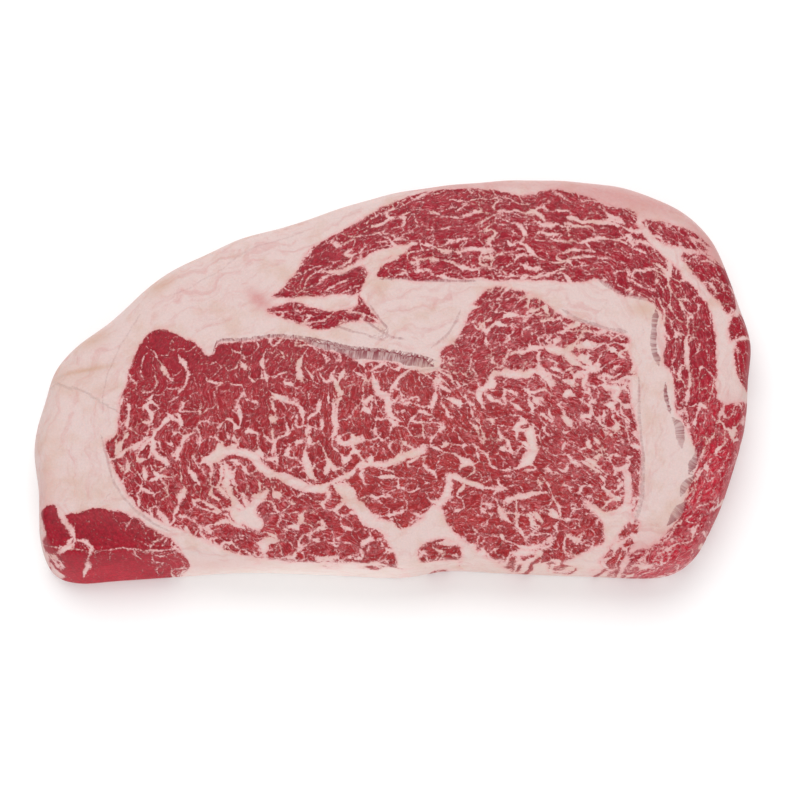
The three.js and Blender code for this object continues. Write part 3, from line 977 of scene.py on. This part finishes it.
def fat_tone(recipe, looks, place, fat_depth, lean, layers, mottle):
    """Colour of the fat: pinker in thin veins, layered and clouded in the broad fat, with tan that is
    partly painted shade in creases and at edges, and painted light on the near side.
    """
    clouds = recipe.noise(place, 0.11, 4.0, 0.6)
    grainy = recipe.noise(place, 1.6, 3.0, 0.7)
    broad = fat_depth.step(0.3, 1.5).larger((-lean).step(0.2, 2.0))
    tone = recipe.mix(fat_depth.step(-0.2, 0.5), looks.vein_fat, looks.seam_fat)
    tone = recipe.mix(broad, tone, looks.rim_fat)
    tone = recipe.mix(layers.step(0.46, 0.76) * 0.5, tone, looks.pink_fat)
    tone = recipe.mix(clouds.step(0.46, 0.72) * 0.42, tone, looks.tan_fat_and_painted_shade)
    tone = recipe.brighten(tone, 0.88 + grainy * 0.24)
    tone = recipe.mix(recipe.read("pinkness") * (0.55 + mottle * 0.7), tone, looks.pink_fat)
    # Painted light: paler fat on the near side
    tone = recipe.mix(recipe.read("painted_light_on_fat"), tone, looks.painted_lit_fat)
    # Tan patches, partly painted shade in the knife crease, at the cap's lower edge and at bends of the rim
    return recipe.mix(recipe.read("tan_and_painted_shade") * (0.5 + mottle * 0.8), tone, looks.tan_fat_and_painted_shade)


def skin_share(recipe, place, jag):
    """Share of silverskin over the flesh: bars across each skin, and a line along the darkest ones."""
    run = recipe.node("ShaderNodeCombineXYZ", values={0: recipe.read("skin_run"), 1: 0.0, 2: 0.0})
    stripes = recipe.noise(recipe.shift(run, recipe.stretch(place, (0.0, 0.12, 0.12))), 1.2, 2.0, 0.7)
    across, half, _ = recipe.parts("skin")
    to_side = across / (half + 0.15)
    bars = (stripes.step(0.38, 0.6) * 0.6 + 0.42) * (0.8 + to_side * 0.2)
    dark = recipe.read("skin_dark")
    line = to_side.step(0.35, 0.8) * dark.step(0.9, 1.0)
    return (recipe.brush("skin") + jag * 0.9).step(-0.15, 0.2) * dark * bars.larger(line)


def raw_beef(looks):
    """Moist raw beef: islands of lean in a net of fat inside the muscles, and broad fat outside them."""
    recipe = Recipe("raw beef")
    place = recipe.node("ShaderNodeTexCoord", output="Object")
    place = recipe.stretch(place, (1 / MM, 1 / MM, 1 / MM))
    grain = recipe.read("grain", "Vector")
    lean, fatness = recipe.read("lean"), recipe.read("fatness")
    jag = recipe.noise(place, 1.25, 3.0, 0.66) - 0.5
    knots = (recipe.noise(place, 0.36, 1.0) - 0.5) * 2.6
    uneven = recipe.noise(place, 0.3, 1.0) - 0.5
    drift = recipe.noise(place, 0.13, 3.0, 0.6)
    mottle = recipe.noise(place, 0.9, 4.0, 0.68)

    veins, veinlets = vein_depths(recipe)
    edge = -(lean + jag * 2.0 + knots * 0.7)
    creeping = (1 - lean.step(0.0, 3.0)) * fatness * 0.4
    fat_depth = (veins + creeping + knots * fatness + jag * 2.1 - 0.1).larger(edge)
    fat = fat_depth.step(-0.3, 0.34)
    hair_depth = veinlets.larger(thread_depth(recipe, looks, grain, fatness, uneven)) + jag * 1.2
    fine = fine_fat(recipe, grain, fatness, hair_depth, drift)

    rim = recipe.read("rim", "Vector")
    waves = recipe.noise(place, 0.12, 2.0, output="Color")
    wavy = recipe.shift(rim, recipe.stretch(waves, (0.0, 9.0, 9.0)))
    layers = recipe.noise(recipe.stretch(wavy, (0.03, 0.42, 0.3)), 1.0, 4.0, 0.62)
    surface = recipe.mix(
        fat,
        lean_tone(recipe, looks, place, fat_depth, fine, mottle, drift),
        fat_tone(recipe, looks, place, fat_depth, lean, layers, mottle),
    )
    surface = recipe.mix(skin_share(recipe, place, jag), surface, looks.silverskin)

    pores = recipe.noise(place, 2.4, 2.0, 0.6)
    bumps = (1 - fat) * 0.14 + mottle * 0.2 + pores * 0.1 + layers * fat * 0.5
    normal = recipe.node("ShaderNodeBump", values={"Height": bumps, "Distance": MM, "Strength": 0.55})
    shader = recipe.node(
        "ShaderNodeBsdfPrincipled",
        {"subsurface_method": "RANDOM_WALK"},
        {
            "Base Color": surface,
            "Roughness": 0.46 + fat * 0.08 + mottle * 0.14,
            "Coat Weight": (1 - fat) * looks.moisture,
            "Coat Roughness": 0.3,
            "IOR": 1.34,
            "Specular IOR Level": 0.25,
            "Subsurface Weight": 0.1,
            "Subsurface Radius": (1.0, 0.35, 0.25),
            "Subsurface Scale": 0.7 * MM,
            "Normal": normal,
        },
    )
    recipe.node("ShaderNodeOutputMaterial", values={"Surface": shader})
    return recipe.material


class STEAK_OT_marbled_steak(bpy.types.Operator):
    """Make the marbled steak in place of its plain solid"""

    bl_idname = "steak.marbled_steak"
    bl_label = "Make the marbled steak"
    bl_options = {"REGISTER", "UNDO"}

    def execute(self, context):
        looks = context.scene.steak_looks
        piece = fine_slab("marbled_steak")
        mark_flesh(piece.data, looks)
        lay_out(piece.data)
        piece.data.materials.append(raw_beef(looks))
        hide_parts(NODE)
        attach(piece, "root")
        return {"FINISHED"}


def aim(thing, target):
    thing.rotation_euler = (Vector(target) - thing.location).to_track_quat("-Z", "Y").to_euler()


def soft_light(name, place, target, size, power):
    lamp = bpy.data.lights.new(name, "AREA")
    lamp.shape = "RECTANGLE"
    lamp.size, lamp.size_y = size
    lamp.energy = power
    thing = bpy.data.objects.new(name, lamp)
    thing.location = place
    bpy.context.scene.collection.objects.link(thing)
    aim(thing, target)
    return thing


class STEAK_OT_stage(bpy.types.Operator):
    """Make the plain floor, the soft lights and the camera"""

    bl_idname = "steak.stage"
    bl_label = "Make the stage"
    bl_options = {"REGISTER", "UNDO"}

    def execute(self, context):
        looks = context.scene.stage_looks
        scene = context.scene
        self.make_floor(scene, looks)
        self.make_light(scene, looks)
        self.make_camera(scene, looks)
        return {"FINISHED"}

    def make_floor(self, scene, looks):
        half = 4.0
        corners = [(-half, -half, 0), (half, -half, 0), (half, half, 0), (-half, half, 0)]
        mesh = bpy.data.meshes.new("floor")
        mesh.from_pydata(corners, [], [(0, 1, 2, 3)])
        floor = bpy.data.objects.new("floor", mesh)
        scene.collection.objects.link(floor)
        recipe = Recipe("plain floor")
        shader = recipe.node(
            "ShaderNodeBsdfPrincipled",
            values={
                "Base Color": (*looks.floor_tint, 1),
                "Roughness": 0.9,
                "Specular IOR Level": 0.1,
                "Emission Color": (1, 1, 1, 1),
                "Emission Strength": looks.floor_glow,
            },
        )
        recipe.node("ShaderNodeOutputMaterial", values={"Surface": shader})
        mesh.materials.append(recipe.material)

    def make_light(self, scene, looks):
        world = bpy.data.worlds.new("even light")
        scene.world = world
        world.use_nodes = True
        sky = world.node_tree.nodes["Background"].inputs
        sky["Color"].default_value = (1, 1, 1, 1)
        sky["Strength"].default_value = looks.sky_strength
        soft_light("key light", (-0.1, 0.6, 1.05), (0, 0, 0), (0.9, 0.6), looks.key_power)
        soft_light("fill light", (0.1, -1.1, 0.45), (0, 0, 0), (1.2, 0.4), looks.fill_power)
        scene.view_settings.view_transform = "Standard"
        scene.view_settings.look = "None"

    def make_camera(self, scene, looks):
        view_x, view_y, view_height = 2.67, -5.62, 25
        target = Vector((view_x - DRAWING_MIDDLE[0], view_y - DRAWING_MIDDLE[1], view_height)) * MM
        back = Vector((0, -math.cos(looks.elevation), math.sin(looks.elevation)))
        camera = bpy.data.objects.new("camera", bpy.data.cameras.new("camera"))
        camera.data.lens = looks.lens
        camera.data.sensor_width = 36
        camera.data.clip_start = 0.01
        camera.location = target + back * looks.distance
        scene.collection.objects.link(camera)
        aim(camera, target)
        scene.camera = camera


class STEAK_PT_panel(bpy.types.Panel):
    """Sizes and colours of the steak and its stage"""

    bl_label = "Raw rib-eye steak"
    bl_idname = "STEAK_PT_panel"
    bl_space_type = "VIEW_3D"
    bl_region_type = "UI"
    bl_category = "Steak"

    def draw(self, context):
        for looks, operator in (
            (context.scene.steak_looks, STEAK_OT_marbled_steak.bl_idname),
            (context.scene.stage_looks, STEAK_OT_stage.bl_idname),
        ):
            box = self.layout.box()
            for name in looks.__annotations__:
                box.prop(looks, name)
            box.operator(operator)


CLASSES = (SteakLooks, StageLooks, STEAK_OT_marbled_steak, STEAK_OT_stage, STEAK_PT_panel)


def register():
    for made in CLASSES:
        bpy.utils.register_class(made)
    bpy.types.Scene.steak_looks = bpy.props.PointerProperty(type=SteakLooks)
    bpy.types.Scene.stage_looks = bpy.props.PointerProperty(type=StageLooks)


def unregister():
    del bpy.types.Scene.stage_looks
    del bpy.types.Scene.steak_looks
    for made in reversed(CLASSES):
        bpy.utils.unregister_class(made)


def main():
    register()
    bpy.ops.steak.stage()
    bpy.ops.steak.marbled_steak()


if __name__ == "__main__":
    main()
